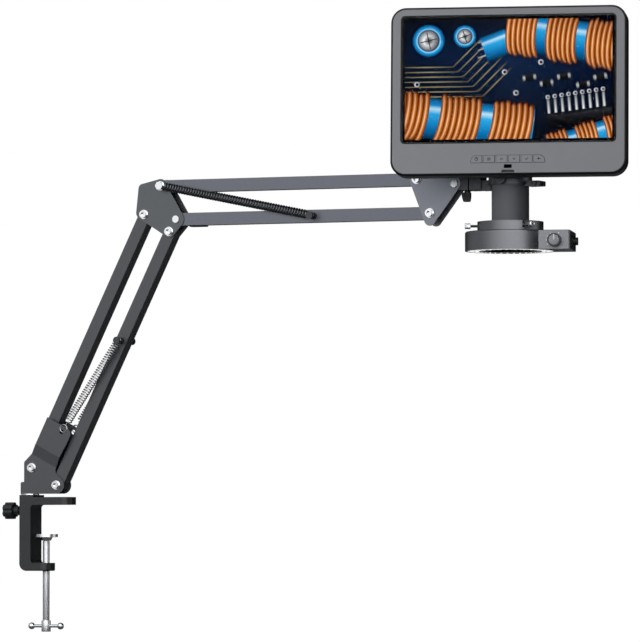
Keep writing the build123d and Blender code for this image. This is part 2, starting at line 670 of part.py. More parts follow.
def main():
    os.makedirs("parts", exist_ok=True)
    export("clamp_frame", clamp_frame())
    export("pan_washer", pan_washer())
    export("lock_knob", lock_knob())
    export("clamp_pad", clamp_pad())
    export("clamp_screw", clamp_screw())
    export("tommy_bar", tommy_bar())

    plate = base_plate()
    export("base_plate_rear", plate)
    export("base_plate_front", mirror(plate, Plane.XZ))
    export("pan_block", pan_block())
    export("base_bolts", pivot_bolts(base_rear, base_front))

    export("lower_bar_rear", bar(base_rear, elbow_rear))
    export("lower_bar_front", bar(base_front, elbow_front, lower_pin))
    export("lower_spring_pin", spring_pin(lower_pin))
    export("lower_springs", spring(lower_pin, ear_hole, 5.5, 13.5, 2.8))
    export("lower_spring_hooks", lower_hooks())

    plate = elbow_plate()
    export("elbow_plate_rear", plate)
    export("elbow_plate_front", mirror(plate, Plane.XZ))
    export("elbow_bolts", pivot_bolts(elbow_rear, elbow_front) + flat_rivets(upper_low))
    export("spring_bolt", spring_bolt())

    export("upper_bar_top", bar(upper_top, head_top))
    export("upper_bar_low", bar(upper_low, head_low, upper_pin))
    export("upper_spring_pin", spring_pin(upper_pin))
    export("upper_springs", spring(upper_pin, upper_top, 5.0, 6.2, 2.8))
    export("upper_spring_loops", upper_loops())

    plate = head_plate()
    export("head_plate_rear", plate)
    export("head_plate_front", mirror(plate, Plane.XZ))
    export("head_bolts", pivot_bolts(head_top, head_low))
    export("tilt_rivet", flat_rivets(tilt_axis))
    export("tilt_block", tilt_block())
    export("wing_screw", wing_screw())
    export("holder_ring", holder_ring())
    export("holder_screw", holder_screw())
    export("holder_knob", holder_knob())

    for make in (barrel, lens_cell, focus_wheel, camera_head, camera_board, screen_yoke, screen_pin,
                 light_housing, control_box, led_board, thumb_screws, dimmer_knob, power_socket):
        export(make.__name__, on_barrel(make()))
    for make in (front_bezel, rear_cover, screen_glass, lcd_panel, main_board, screen_knuckle,
                 cover_screws, ir_window):
        export(make.__name__, on_hinge(make()))
    for n, name in enumerate(key_names):
        export(name, on_hinge(key(n)))


main()
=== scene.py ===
import bpy
import math
from mathutils import Matrix, Vector


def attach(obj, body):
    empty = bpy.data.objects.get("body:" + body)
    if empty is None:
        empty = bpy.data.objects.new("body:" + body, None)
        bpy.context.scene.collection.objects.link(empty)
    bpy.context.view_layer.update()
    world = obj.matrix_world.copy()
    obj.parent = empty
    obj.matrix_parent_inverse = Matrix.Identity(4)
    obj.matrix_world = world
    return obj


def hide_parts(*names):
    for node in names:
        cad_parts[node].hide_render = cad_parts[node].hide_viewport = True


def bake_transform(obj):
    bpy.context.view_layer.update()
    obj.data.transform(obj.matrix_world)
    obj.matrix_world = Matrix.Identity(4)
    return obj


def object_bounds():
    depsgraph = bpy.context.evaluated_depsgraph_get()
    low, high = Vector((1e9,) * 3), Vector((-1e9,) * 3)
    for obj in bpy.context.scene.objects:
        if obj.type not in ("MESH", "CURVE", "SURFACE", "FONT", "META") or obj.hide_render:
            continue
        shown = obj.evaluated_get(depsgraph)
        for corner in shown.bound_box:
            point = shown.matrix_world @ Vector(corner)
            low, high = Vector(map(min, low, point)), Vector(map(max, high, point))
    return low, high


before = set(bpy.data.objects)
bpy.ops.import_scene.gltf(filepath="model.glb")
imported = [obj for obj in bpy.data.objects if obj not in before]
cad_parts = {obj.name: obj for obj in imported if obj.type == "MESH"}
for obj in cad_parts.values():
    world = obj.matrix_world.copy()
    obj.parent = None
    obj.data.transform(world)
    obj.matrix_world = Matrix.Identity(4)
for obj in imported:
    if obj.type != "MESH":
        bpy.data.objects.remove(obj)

mm = 0.001
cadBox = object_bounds()
print("frame loaded:", len(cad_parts), "nodes")


def turned(degrees, axis):
    return Matrix.Rotation(math.radians(degrees), 4, axis)


def shifted(x, y, z):
    return Matrix.Translation((x * mm, y * mm, z * mm))


# sizes below are in millimetres and degrees; the head and the screen have places of their own
barrelX, headPan, screenLean = 556.8, 17.5, 3.0
hingeY, hingeZ = -14.0, 418.0
headPlace = shifted(barrelX, 0, 0) @ turned(headPan, "Z")
screenPlace = headPlace @ shifted(0, hingeY, hingeZ) @ turned(-screenLean, "X")


# camera and lamps, the lamps' places in metres

view = {"target": (333.9, 0.0, 195.1), "distance": 5555.0, "yaw": 26.2, "pitch": 2.5,
        "focalPixels": 5200.0, "imageHeight": 642.0, "sensor": 36.0, "farClip": 50}


def makeCamera():
    yaw, pitch = math.radians(view["yaw"]), math.radians(view["pitch"])
    forward = Vector((-math.sin(yaw) * math.cos(pitch), math.cos(yaw) * math.cos(pitch), math.sin(pitch)))
    target = Vector(view["target"]) * mm
    bpy.ops.object.camera_add(location=target - forward * view["distance"] * mm,
                              rotation=forward.to_track_quat("-Z", "Y").to_euler())
    camera = bpy.context.object
    camera.data.sensor_width = view["sensor"]
    camera.data.lens = view["focalPixels"] * view["sensor"] / view["imageHeight"]
    camera.data.clip_end = view["farClip"]
    bpy.context.scene.camera = camera


lamps = {"softbox": {"place": (-0.10, -2.80, 0.42), "aim": (0.30, 0.0, 0.25),
                     "size": (3.2, 2.4), "power": 100},
         "backSoft": {"place": (-1.20, 2.60, 1.20), "aim": (0.30, 0.0, 0.22),
                      "size": (2.4, 2.0), "power": 85}}


def makeLamp(name, place, aim, size, power):
    away = (Vector(place) - Vector(aim)).normalized()
    bpy.ops.object.light_add(type="AREA", location=place, rotation=away.to_track_quat("Z", "Y").to_euler())
    lamp = bpy.context.object
    lamp.name = name
    lamp.data.shape = "RECTANGLE"
    lamp.data.size, lamp.data.size_y = size
    lamp.data.energy = power
    lamp.visible_glossy = False      # the room of makeRoom draws the shine


# materials

def hexColour(code):
    values = [int(code[n:n + 2], 16) / 255 for n in (0, 2, 4)]
    return tuple(v / 12.92 if v <= 0.04045 else ((v + 0.055) / 1.055) ** 2.4 for v in values) + (1.0,)


def addNode(material, kind, settings=None, links=None):
    node = material.node_tree.nodes.new(kind)
    for key, value in (settings or {}).items():
        if isinstance(key, str) and key in node.bl_rna.properties:
            setattr(node, key, value)
        else:
            node.inputs[key].default_value = value
    for socket, source in (links or {}).items():
        material.node_tree.links.new(source, node.inputs[socket])
    return node


def link(material, source, target):
    material.node_tree.links.new(source, target)


def newMaterial(name, **settings):
    material = bpy.data.materials.new(name)
    material.use_nodes = True
    shader = material.node_tree.nodes["Principled BSDF"]
    for key, value in settings.items():
        shader.inputs[key.replace("_", " ")].default_value = value
    return material, shader


def noiseOf(material, sizeMm, detail=3.0, stretch=(1, 1, 1)):
    place = addNode(material, "ShaderNodeTexCoord")
    spread = addNode(material, "ShaderNodeMapping", {"Scale": stretch}, {"Vector": place.outputs["Object"]})
    return addNode(material, "ShaderNodeTexNoise", {"Scale": 1 / (sizeMm * mm), "Detail": detail},
                   {"Vector": spread.outputs["Vector"]}).outputs["Fac"]


def between(material, source, low, high, fromLow=0.3, fromHigh=0.7):
    return addNode(material, "ShaderNodeMapRange",
                   {"From Min": fromLow, "From Max": fromHigh, "To Min": low, "To Max": high},
                   {"Value": source}).outputs["Result"]


def dotWith(material, vector, direction):
    return addNode(material, "ShaderNodeVectorMath", {"operation": "DOT_PRODUCT", 1: direction},
                   {0: vector}).outputs["Value"]


def mixColours(material, factor, first, second, blend="MIX"):
    # sockets of a colour mix: 0 is the factor, 6 and 7 are the colours, 2 is the result
    settings, links = {"data_type": "RGBA", "blend_type": blend}, {}
    for socket, value in ((0, factor), (6, first), (7, second)):
        if isinstance(value, str):
            settings[socket] = hexColour(value)
        elif isinstance(value, float):
            settings[socket] = value
        else:
            links[socket] = value
    return addNode(material, "ShaderNodeMix", settings, links).outputs[2]


def tinted(material, shader, source, first, second):
    link(material, mixColours(material, source, first, second), shader.inputs["Base Color"])


def roughened(material, shader, source, low, high):
    link(material, between(material, source, low, high), shader.inputs["Roughness"])


def bumpFrom(material, shader, source, heightMm, strength):
    bump = addNode(material, "ShaderNodeBump", {"Strength": strength, "Distance": heightMm * mm},
                   {"Height": source})
    link(material, bump.outputs["Normal"], shader.inputs["Normal"])


def paintedSteel(name, first, second):
    # satin powder coat on steel: a soft broad shine and a fine orange peel, drawn 1.6 mm wide to show
    material, shader = newMaterial(name, Specular_IOR_Level=0.35)
    patches = noiseOf(material, 14.0)
    tinted(material, shader, patches, first, second)
    roughened(material, shader, patches, 0.40, 0.50)
    bumpFrom(material, shader, noiseOf(material, 1.6), 0.05, 0.5)
    return material


def clampEnamel():
    # stoved enamel on the cast clamp: darker than the bars and with a smoother shine
    material, shader = newMaterial("stovedEnamel", Specular_IOR_Level=0.35)
    patches = noiseOf(material, 9.0)
    tinted(material, shader, patches, "2c2e30", "323436")
    roughened(material, shader, patches, 0.32, 0.42)
    bumpFrom(material, shader, noiseOf(material, 1.2), 0.06, 0.6)
    return material


def anodisedAluminium(name, first, second, rough, metallic=0.8, level=0.5):
    # anodised, turned aluminium: satin with fine rings round the axis that stretch the highlight
    material, shader = newMaterial(name, Metallic=metallic, Specular_IOR_Level=level)
    rings = noiseOf(material, 1.1, 2.0, (0.02, 0.02, 1.0))
    tinted(material, shader, rings, first, second)
    roughened(material, shader, rings, rough, rough + 0.1)
    return material


def nickelPlate():
    # bright nickel plate on turned steel: near mirror, with faint wiping marks
    material, shader = newMaterial("brightNickelPlate", Metallic=1.0)
    marks = noiseOf(material, 2.5)
    tinted(material, shader, marks, "dcdde0", "eeeff1")
    roughened(material, shader, marks, 0.22, 0.32)
    return material


def zincPlate():
    # satin zinc on the rolled clamp screw: greyer than nickel and without its mirror
    material, shader = newMaterial("satinZincPlate", Metallic=0.9)
    spangle = noiseOf(material, 4.0)
    tinted(material, shader, spangle, "cfd1d4", "dadcdf")
    roughened(material, shader, spangle, 0.40, 0.48)
    return material


def springSteel(name, first, second, metallic):
    # drawn spring wire, plated or blackened, with fine die lines
    material, shader = newMaterial(name, Metallic=metallic)
    lines = noiseOf(material, 1.0, 4.0)
    tinted(material, shader, lines, first, second)
    roughened(material, shader, lines, 0.22, 0.38)
    return material


def blackOxide():
    # black oxide on steel screws and pins: deep grey with an oily satin shine
    material, shader = newMaterial("blackOxideSteel", Metallic=0.6)
    film = noiseOf(material, 3.0)
    tinted(material, shader, film, "3a3b3d", "4a4b4d")
    roughened(material, shader, film, 0.32, 0.46)
    return material


def mouldedAbs(name, first, second, rough, grainMm=0.9):
    # injection-moulded plastic from a spark-eroded tool: even colour with a fine matt grain
    material, shader = newMaterial(name, Specular_IOR_Level=0.4)
    grain = noiseOf(material, grainMm)
    tinted(material, shader, noiseOf(material, 20.0), first, second)
    roughened(material, shader, grain, rough - 0.05, rough + 0.07)
    bumpFrom(material, shader, grain, 0.04, 0.4)
    return material


# where the painted shade on rounded edges starts and where it is full, in mm behind the front, and its colour
paintedEdgeShade = {"from": 0.06, "to": 0.14, "shadeColour": "131416"}


def edgeShadedAbs(name, front, first, second):
    # grey ABS face with painted shade: the colour turns near black where the edge starts to round, so rounded
    # edges and the gaps between keys come out dark
    material, shader = newMaterial(name, Specular_IOR_Level=0.3)
    place = addNode(material, "ShaderNodeTexCoord")
    normal = screenPlace.to_3x3() @ Vector((0, 1, 0))
    level = (screenPlace @ Vector((0, front * mm, 0))).dot(normal)
    depth = dotWith(material, place.outputs["Object"], normal)
    edge = between(material, depth, 0.0, 1.0, level + paintedEdgeShade["from"] * mm, level + paintedEdgeShade["to"] * mm)
    paint = mixColours(material, noiseOf(material, 25.0), first, second)
    link(material, mixColours(material, edge, paint, paintedEdgeShade["shadeColour"]), shader.inputs["Base Color"])
    grain = noiseOf(material, 0.9)
    roughened(material, shader, grain, 0.40, 0.52)
    bumpFrom(material, shader, grain, 0.03, 0.35)
    return material


def coverGlass():
    # toughened cover glass with an anti-reflection coat: clear, smooth and with hardly any glare
    material, shader = newMaterial("toughenedGlass", Transmission_Weight=1.0, Roughness=0.02, IOR=1.05)
    tinted(material, shader, noiseOf(material, 60.0), "f4f6f6", "fbfcfc")
    return material


def ledLens():
    # clear epoxy over white phosphor: lit, it is brighter than everything round it
    material, shader = newMaterial("litEpoxyLens", Roughness=0.15, Emission_Strength=1.0)
    shader.inputs["Emission Color"].default_value = hexColour("fffdf6")
    tinted(material, shader, noiseOf(material, 1.5), "f7f3dc", "ffffff")
    return material


def printedInk(name, code):
    # screen-printed ink: flat and matt
    material, shader = newMaterial(name, Roughness=0.6, Specular_IOR_Level=0.0)
    tinted(material, shader, noiseOf(material, 1.0), code, code)
    return material


def circuitBoard(name, first, second):
    # solder resist over glass fibre: the weave shows through as a faint unevenness
    material, shader = newMaterial(name, Roughness=0.35)
    tinted(material, shader, noiseOf(material, 2.0), first, second)
    bumpFrom(material, shader, noiseOf(material, 0.8), 0.03, 0.4)
    return material, shader


# where the painted glow of the underside gives way to dark, in mm above the underside, and the dark colour
boardEdge = {"from": 0.05, "to": 0.15, "dark": "17181a"}


def lampBoardPaintedGlow(name, underside, lit):
    # white solder resist with a painted glow on its underside, standing in for the light of its diodes; above
    # the underside it turns dark
    material, shader = circuitBoard(name, "e6e7e6", "f4f4f3")
    place = addNode(material, "ShaderNodeTexCoord")
    height = addNode(material, "ShaderNodeSeparateXYZ", links={0: place.outputs["Object"]}).outputs["Z"]
    above = between(material, height, 0.0, 1.0,
                    (underside + boardEdge["from"]) * mm, (underside + boardEdge["to"]) * mm)
    colour = shader.inputs["Base Color"].links[0].from_socket
    link(material, mixColours(material, above, colour, boardEdge["dark"]), shader.inputs["Base Color"])
    # painted glow: the board's underside gives off light although the board is no lamp
    link(material, mixColours(material, above, "ffffff", "000000"), shader.inputs["Emission Color"])
    shader.inputs["Emission Strength"].default_value = lit
    return material


# the lower parts carry the true powder-coat colour; the elbow, upper bars and head plates get lighter, bluer
# copies of the same coat: painted light for the stronger light that falls on the upper parts
powderCoat = paintedSteel("graphitePowderCoat", "4b4d50", "515356")
elbowPaintedLightCoat = paintedSteel("elbowCoatPaintedLighter", "585b5e", "5e6164")
upperPaintedLightCoat = paintedSteel("upperCoatPaintedLighter", "6a6d76", "71747d")
headPaintedLightCoat = paintedSteel("headCoatPaintedLightest", "7e818b", "868993")
enamel, nickel, zinc = clampEnamel(), nickelPlate(), zincPlate()
anodised = anodisedAluminium("blackAnodisedAluminium", "4c4e52", "585a5e", 0.38)
blasted = anodisedAluminium("beadBlastedAluminium", "595b5f", "626468", 0.5, 0.15, 0.15)
lampMetal = anodisedAluminium("darkAnodisedLampHousing", "66686c", "707276", 0.32)
brightWire = springSteel("platedSpringWire", "9c9da0", "c4c5c7", 1.0)
blackWire = springSteel("blackenedSpringWire", "3c3e41", "66686c", 0.85)
oxide = blackOxide()
blackInk, whiteInk = printedInk("blackCeramicInk", "050506"), printedInk("whiteInk", "f2f2f0")
# bezel and keys: grey faces with painted shade on their rounded edges
greyFace = edgeShadedAbs("greyPaintedFace", -42.0, "7f8185", "85878b")
keyAbs = edgeShadedAbs("greyPaintedKeys", -42.5, "818387", "87898d")
blackAbs = mouldedAbs("blackAbs", "1d1e20", "232427", 0.46)
nylon = mouldedAbs("blackNylon", "17181a", "1e1f21", 0.5)
glass, lens = coverGlass(), ledLens()
greenBoard = circuitBoard("greenSolderResist", "0d4a26", "11592f")[0]
# the LED board, with a painted glow on its underside
paintedGlowBoard = lampBoardPaintedGlow("whiteResistPaintedGlow", 264.1, 0.6)
print("materials made")

nodeFinishes = (
    (enamel, "clamp_frame"),
    (nickel, "pan_washer clamp_pad tommy_bar base_bolts elbow_bolts"),
    (nickel, "spring_bolt head_bolts tilt_rivet screen_pin"),
    (powderCoat, "pan_block base_plate_rear base_plate_front lower_bar_rear lower_bar_front"),
    # lighter copies of the one powder coat, painted light
    (elbowPaintedLightCoat, "elbow_plate_rear elbow_plate_front"),
    (upperPaintedLightCoat, "upper_bar_top upper_bar_low"),
    (headPaintedLightCoat, "head_plate_rear head_plate_front"),
    (oxide, "lower_spring_pin upper_spring_pin holder_screw cover_screws"),
    (anodised, "tilt_block holder_ring holder_knob lens_cell camera_head screen_yoke screen_knuckle"),
    (blasted, "barrel"),
    (lampMetal, "light_housing control_box"),
    (paintedGlowBoard, "led_board"),
    (blackAbs, "lock_knob focus_wheel dimmer_knob rear_cover"),
    (nylon, "wing_screw power_socket"),
    (greenBoard, "camera_board main_board"),
    (glass, "screen_glass"),
    (blackInk, "ir_window"),
    (greyFace, "front_bezel"),
    (keyAbs, "key_power key_menu key_up key_down key_enter key_back"))


def finishNodes():
    for material, names in nodeFinishes:
        for name in names.split():
            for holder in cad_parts[name].material_slots:
                holder.material = material


# modelling helpers

def addMesh(name, kind, scale=(1, 1, 1), **settings):
    bpy.ops.object.select_all(action="DESELECT")
    getattr(bpy.ops.mesh, f"primitive_{kind}_add")(**settings)
    piece = bpy.context.object
    piece.scale = scale
    piece.name = piece.data.name = name
    return piece


def selectOnly(*pieces):
    bpy.ops.object.select_all(action="DESELECT")
    for piece in pieces:
        piece.select_set(True)
    bpy.context.view_layer.objects.active = pieces[0]


def settle(piece, place=None):
    if place is not None:
        piece.matrix_world = place @ piece.matrix_world
    selectOnly(piece)
    bpy.ops.object.transform_apply(location=True, rotation=True, scale=True)
    return piece


def joined(name, pieces):
    selectOnly(*pieces)
    if len(pieces) > 1:
        bpy.ops.object.join()
    pieces[0].name = pieces[0].data.name = name
    return pieces[0]


def applied(piece, kind, **settings):
    modifier = piece.modifiers.new(kind.lower(), kind)
    for key, value in settings.items():
        setattr(modifier, key, value)
    selectOnly(piece)
    bpy.ops.object.modifier_apply(modifier=modifier.name)
    return piece


def closeUp(piece, sides):
    selectOnly(piece)
    bpy.ops.object.mode_set(mode="EDIT")
    bpy.ops.mesh.select_all(action="SELECT")
    bpy.ops.mesh.remove_doubles(threshold=0.00001)
    bpy.ops.mesh.fill_holes(sides=sides)
    bpy.ops.mesh.select_all(action="SELECT")
    bpy.ops.mesh.normals_make_consistent(inside=False)
    bpy.ops.object.mode_set(mode="OBJECT")
    return piece


def dressed(piece, material, body, slotName, *stoodFor):
    if material is not None:
        piece.data.materials.clear()
        piece.data.materials.append(material)
    selectOnly(piece)
    bpy.ops.object.shade_smooth_by_angle(angle=math.radians(35))
    if body:
        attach(piece, body)
    if stoodFor:
        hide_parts(*stoodFor)
    return piece


def alongZ(start, end):
    direction = Vector(end) - Vector(start)
    return Matrix.Translation(Vector(start) * mm) @ direction.to_track_quat("Z", "Y").to_matrix().to_4x4()


def helix(name, section, sectionRadius, coilRadius, pitch, length, steps):
    wire = settle(addMesh(name, "circle", vertices=section, radius=sectionRadius * mm,
                          location=(coilRadius * mm, 0, 0), rotation=(math.pi / 2, math.pi / 2, 0)))
    applied(wire, "SCREW", screw_offset=pitch * mm, iterations=round(length / pitch),
            steps=steps, render_steps=steps)
    return closeUp(wire, section)


def rod(name, radius, length, place, vertices=24, bevel=0.0):
    piece = addMesh(name, "cylinder", vertices=vertices, radius=radius * mm, depth=length * mm,
                    location=(0, 0, length / 2 * mm))
    if bevel:
        applied(piece, "BEVEL", width=bevel * mm, segments=2, limit_method="ANGLE")
    return settle(piece, place)


def wireEye(name, point, y, radius, wire):
    return settle(addMesh(name, "torus", major_radius=radius * mm, minor_radius=wire * mm,
                          major_segments=28, minor_segments=8, rotation=(math.pi / 2, 0, 0),
                          location=(point[0] * mm, y * mm, point[1] * mm)))


def flatPlate(name, x0, x1, z0, z1, y0, y1):
    return settle(addMesh(name, "cube", size=mm, scale=(x1 - x0, y1 - y0, z1 - z0),
                          location=((x0 + x1) / 2 * mm, (y0 + y1) / 2 * mm, (z0 + z1) / 2 * mm)))


# arm springs

springs = {"lower": {"pin": (96.5, 178.0), "hook": (26.4, 79.6), "bodies": ("lower_spring", "lower_hook"),
                     "nearGap": 5.5, "farGap": 12.5, "eyeRadius": 4.2, "pitch": 2.9, "wire": 0.68,
                     "slot": "spring_wire", "stoodFor": ("lower_springs", "lower_spring_hooks")},
           "upper": {"pin": (329.8, 307.3), "hook": (149.1, 344.5), "bodies": ("upper_spring", "upper_loop"),
                     "nearGap": 5.0, "farGap": 5.0, "eyeRadius": 3.4, "pitch": 3.2, "wire": 0.82,
                     "slot": "dark_spring_wire", "stoodFor": ("upper_springs", "upper_spring_loops")}}
springY, coilRadius, pinEye = 13.5, 3.8, 2.8
stemExtra, stemBack, stemSides = 1.5, 1.2, 10      # the stems run on into the coil


def makeSpring(name, material, pin, hook, bodies, nearGap, farGap, eyeRadius, pitch, wire, slot, stoodFor):
    parts = []
    reach = math.dist(pin, hook)
    for y in (springY, -springY):
        place = alongZ((pin[0], y, pin[1]), (hook[0], y, hook[1]))
        coil = helix("coil", 8, wire, coilRadius, pitch, reach - nearGap - farGap, 18)
        parts.append(settle(coil, place @ shifted(0, 0, nearGap)))
        parts.append(wireEye("pinEye", pin, y, pinEye, wire))
        parts.append(rod("pinStem", wire, nearGap - pinEye + stemExtra,
                         place @ shifted(0, 0, pinEye), stemSides))
        if name == "lower":
            eye = addMesh("hookEye", "torus", major_radius=eyeRadius * mm, minor_radius=wire * mm,
                          major_segments=28, minor_segments=8, rotation=(math.pi / 2, 0, math.pi / 2))
            settle(eye, place @ shifted(0, 0, reach - eyeRadius))
            eyeDepth = 2 * eyeRadius
        else:
            eye = wireEye("boltEye", hook, y, eyeRadius, wire)
            eyeDepth = eyeRadius
        stem = rod("farStem", wire, farGap - eyeDepth + stemExtra,
                   place @ shifted(0, 0, reach - farGap - stemBack), stemSides)
        parts += [eye, stem]
    piece = dressed(joined(name + "Springs", parts), material, None, slot, *stoodFor)
    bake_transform(piece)


# clamp screw

clampScrew = {"crest": 4.0, "core": 3.75, "pitch": 1.25, "top": -39.2, "noseRadius": 3.0, "noseTop": -36.5,
              "noseLap": 1, "hubZ": -132.4, "hubRadius": 5.1, "hubHalf": 6.2, "hubLap": 0.5, "hole": 1.75,
              "drillHalf": 8, "ridge": 0.62, "ridgeSunk": 0.08, "threadStart": 0.6, "threadShort": 1.5}


def makeClampScrew():
    c = clampScrew
    bottom = c["hubZ"] + c["hubHalf"] - c["hubLap"]
    thread = helix("thread", 3, 2 * (c["crest"] - c["core"]) * c["ridge"], c["core"] - c["ridgeSunk"],
                   c["pitch"], c["top"] - bottom - c["threadShort"], 24)
    settle(thread, shifted(0, 0, bottom + c["threadStart"]))
    core = rod("core", c["core"], c["top"] - bottom, shifted(0, 0, bottom), 32, 0.4)
    nose = rod("nose", c["noseRadius"], c["noseTop"] - c["top"] + c["noseLap"],
               shifted(0, 0, c["top"] - c["noseLap"]), 32, 0.3)
    hub = rod("hub", c["hubRadius"], 2 * c["hubHalf"], shifted(0, 0, c["hubZ"] - c["hubHalf"]), 48, 0.6)
    drill = rod("drill", c["hole"], 2 * c["drillHalf"],
                shifted(-c["drillHalf"], 0, c["hubZ"]) @ turned(90, "Y"))
    applied(hub, "BOOLEAN", object=drill, operation="DIFFERENCE")
    bpy.data.objects.remove(drill)
    dressed(joined("clampScrewThreaded", [core, thread, nose, hub]), zinc, "screw", "nickel", "clamp_screw")


# ring light trim

lampScrew = {"z": 290.5, "angles": (-55.0, 65.5, 185.5), "tip": 19.85, "headIn": 41.9, "headOut": 47.9,
             "headRadius": 3.0, "ribs": 20, "ribSink": 0.92, "edge": 0.25, "edgeAngle": 60,
             "threadRadius": 1.5, "coreSunk": 0.2, "ridgeSunk": 0.3, "ridge": 0.35, "pitch": 0.5, "lap": 0.5}


def knurledHead():
    s = lampScrew
    head = addMesh("head", "cylinder", vertices=s["ribs"] * 2, radius=s["headRadius"] * mm,
                   depth=(s["headOut"] - s["headIn"]) * mm,
                   location=(0, 0, (s["headIn"] + s["headOut"]) / 2 * mm))
    settle(head)
    bpy.ops.object.mode_set(mode="EDIT")
    bpy.ops.mesh.select_all(action="DESELECT")
    bpy.ops.object.mode_set(mode="OBJECT")
    for v in head.data.vertices:
        rib = round(math.degrees(math.atan2(v.co.y, v.co.x)) * s["ribs"] / 180)
        v.select = rib % 2 == 0
    bpy.ops.object.mode_set(mode="EDIT")
    bpy.ops.transform.resize(value=(s["ribSink"], s["ribSink"], 1.0))
    bpy.ops.object.mode_set(mode="OBJECT")
    return applied(head, "BEVEL", width=s["edge"] * mm, segments=2, limit_method="ANGLE",
                   angle_limit=math.radians(s["edgeAngle"]))


def threadedShank():
    s = lampScrew
    run = s["headIn"] - s["tip"]
    shank = rod("shank", s["threadRadius"] - s["coreSunk"], run + s["lap"], shifted(0, 0, s["tip"]), 20)
    thread = helix("thread", 3, s["ridge"], s["threadRadius"] - s["ridgeSunk"], s["pitch"],
                   run - 2 * s["lap"], 12)
    settle(thread, shifted(0, 0, s["tip"] + s["lap"]))
    return joined("shank", [shank, thread])


def makeLampScrews():
    s = lampScrew
    models = {"knurledLampScrews": (knurledHead(), nickel), "lampScrewThreads": (threadedShank(), oxide)}
    for name, (model, material) in models.items():
        copies = []
        for angle in s["angles"]:
            copy = model.copy()
            copy.data = model.data.copy()
            bpy.context.collection.objects.link(copy)
            around = headPlace @ shifted(0, 0, s["z"]) @ turned(angle, "Z")
            copies.append(settle(copy, around @ turned(90, "Y")))
        bpy.data.objects.remove(model)
        dressed(joined(name, copies), material, "light", "nickel", "thumb_screws")


dimmer = {"x": 50.2, "z": 273.5, "boxFront": -34.3, "capRadius": 5.4, "capFront": -42.45, "capThick": 0.3,
          "capSunk": 0.2, "pointer": (1.1, 0.12, 5.6), "pointerRise": 3.0, "dotRing": 8.5, "dotRadius": 0.62,
          "dotThick": 0.08, "dotAngles": (-30, 0, 30, 60, 120, 150, 180, 210)}


def makeDimmerTrim():
    d = dimmer
    facing = turned(90, "X")      # a disc's +Z then looks out of the box
    cap = rod("cap", d["capRadius"], d["capThick"],
              shifted(d["x"], d["capFront"] + d["capSunk"], d["z"]) @ facing, 48, 0.12)
    capMaterial = mouldedAbs("greyKnobCap", "8a8c90", "929498", 0.42)
    dressed(settle(cap, headPlace), capMaterial, "dimmer", "black_abs").name = "dimmerCap"
    pointer = addMesh("dimmerPointer", "cube", size=mm, scale=d["pointer"],
                      location=(d["x"] * mm, (d["capFront"] - d["pointer"][1]) * mm,
                                (d["z"] + d["pointerRise"]) * mm))
    settle(pointer)
    applied(pointer, "BEVEL", width=0.05 * mm, segments=2)
    dressed(settle(pointer, headPlace), whiteInk, "dimmer", "white_board")
    dots = []
    for angle in d["dotAngles"]:
        a = math.radians(angle)
        x, z = d["x"] + d["dotRing"] * math.cos(a), d["z"] + d["dotRing"] * math.sin(a)
        dots.append(rod("dot", d["dotRadius"], d["dotThick"], shifted(x, d["boxFront"], z) @ facing, 16, 0.02))
    dressed(settle(joined("dimmerScale", dots), headPlace), whiteInk, "light", "white_board")


leds = {"count": 24, "rows": (35.4, 41.2), "z": 264.2, "radius": 1.25, "flat": 0.35,
        "chips": 30, "chipRing": 32.3, "chip": (1.2, 4.4, 1.5)}


def makeLeds():
    domes = []
    for row in leds["rows"]:
        for n in range(leds["count"]):
            a = math.radians(360 / leds["count"] * (n + 0.5 * leds["rows"].index(row)))
            place = (row * math.cos(a) * mm, row * math.sin(a) * mm, leds["z"] * mm)
            domes.append(addMesh("dome", "uv_sphere", segments=12, ring_count=6, radius=leds["radius"] * mm,
                                 location=place, scale=(1, 1, leds["flat"])))
    dressed(settle(joined("lampLenses", domes), headPlace), lens, "light", "white_board")
    resistors = []
    for n in range(leds["chips"]):
        place = turned(360 / leds["chips"] * n, "Z") @ shifted(leds["chipRing"], 0, leds["z"])
        chip = settle(addMesh("chip", "cube", size=mm, scale=leds["chip"]))
        resistors.append(settle(applied(chip, "BEVEL", width=0.1 * mm, segments=2), place))
    dressed(settle(joined("lampResistors", resistors), headPlace), blackInk, "light", "smoked_acrylic")


# screen trim and the lit picture

panel = {"dx": 4.2, "front": -42.0, "glassWide": 226.1, "glassHigh": 135.0, "glassLow": -46.7,
         "wide": 217.0, "high": 125.4, "low": -42.6, "backing": 2.62, "back": 8.0, "backingInset": 2.2,
         "inkInset": 0.3, "inkDepth": 2.03, "inkThick": 0.03, "clipOver": 1.5}


def makeInkBorder():
    p = panel
    x0 = p["dx"] - p["glassWide"] / 2 + p["inkInset"]
    x1 = p["dx"] + p["glassWide"] / 2 - p["inkInset"]
    z0, z1 = p["glassLow"] + p["inkInset"], p["glassLow"] + p["glassHigh"] - p["inkInset"]
    sheet = addMesh("screenInk", "plane", size=mm, location=((x0 + x1) / 2 * mm, 0, (z0 + z1) / 2 * mm),
                    scale=(x1 - x0, z1 - z0, 1), rotation=(math.pi / 2, 0, 0))
    settle(sheet)
    bpy.ops.object.mode_set(mode="EDIT")
    bpy.ops.mesh.select_all(action="SELECT")
    bpy.ops.mesh.inset(thickness=(x1 - x0 - p["wide"]) / 2 * mm, depth=0)
    bpy.ops.mesh.delete(type="FACE")
    bpy.ops.object.mode_set(mode="OBJECT")
    applied(sheet, "SOLIDIFY", thickness=p["inkThick"] * mm, offset=0)
    settle(sheet, shifted(0, p["front"] + p["inkDepth"], 0))
    dressed(settle(sheet, screenPlace), blackInk, "screen", "smoked_acrylic")


